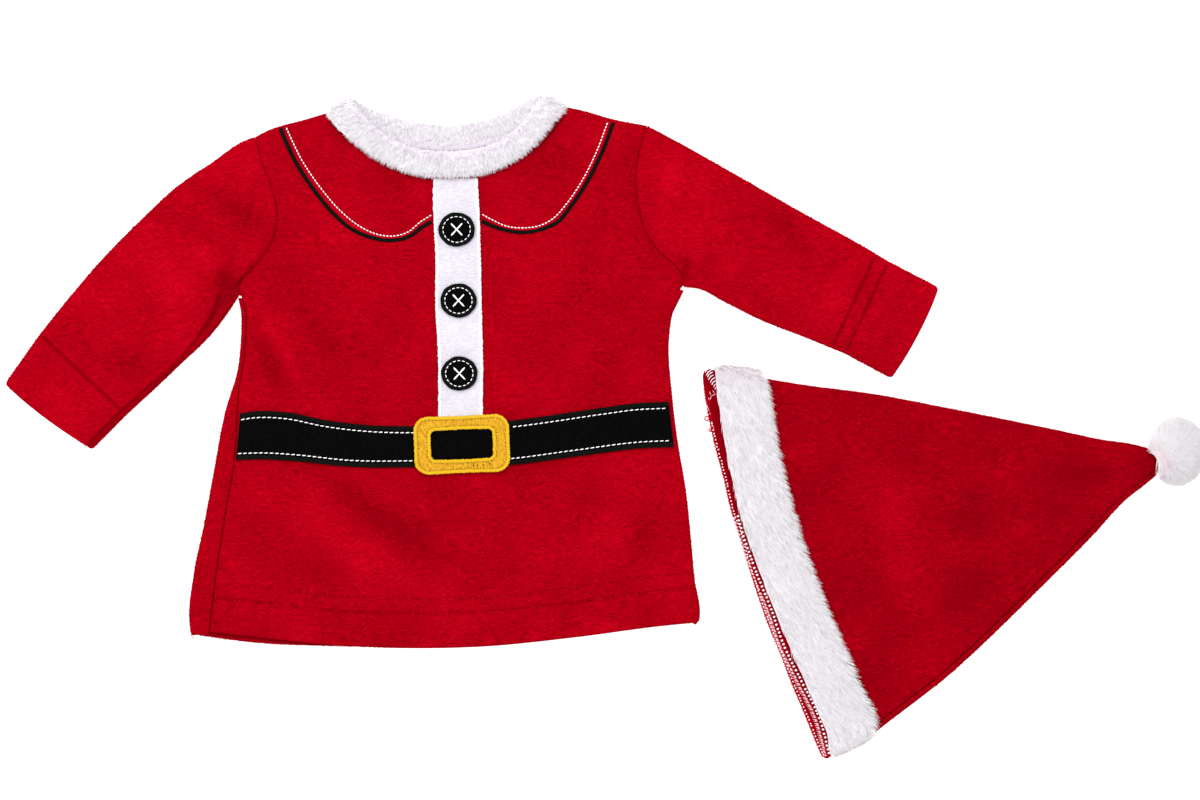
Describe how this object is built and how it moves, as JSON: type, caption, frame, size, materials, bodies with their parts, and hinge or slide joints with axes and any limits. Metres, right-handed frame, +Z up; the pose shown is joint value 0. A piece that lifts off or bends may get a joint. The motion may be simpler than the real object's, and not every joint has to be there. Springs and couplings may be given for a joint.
{
  "type": "baby's plush top and cone hat set",
  "caption": "Long-sleeved A-line baby top with fur neck trim, felt belt, buckle and buttons, laid flat beside a cone hat with a fur band and pompom.",
  "frame": {"origin": "centre of the bounding box of the laid-out set, on the surface it lies on", "axes": "+X across the layout, from the top towards the hat; +Y towards the neck; +Z up from the surface"},
  "size_m": [0.67, 0.3696, 0.0257],
  "materials": {
    "red_plush": "velour with a short nap",
    "white_fur": "long-pile fur",
    "white_plush": "short plush",
    "black_felt": "matt felt",
    "yellow_thread": "satin embroidery"
  },
  "bodies": {
    "root": {"front_panel": "red_plush", "back_panel": "red_plush", "sleeve_left": "red_plush", "sleeve_right": "red_plush", "neck_trim": "white_fur", "placket": "white_plush", "button_top": "black_felt", "button_middle": "black_felt", "button_bottom": "black_felt", "belt": "black_felt", "buckle": "yellow_thread", "braid_left": "black_felt", "braid_right": "black_felt", "hat_front_panel": "red_plush", "hat_back_panel": "red_plush", "hat_band": "white_fur", "hat_pompom": "white_fur"}
  },
  "joints": []
}
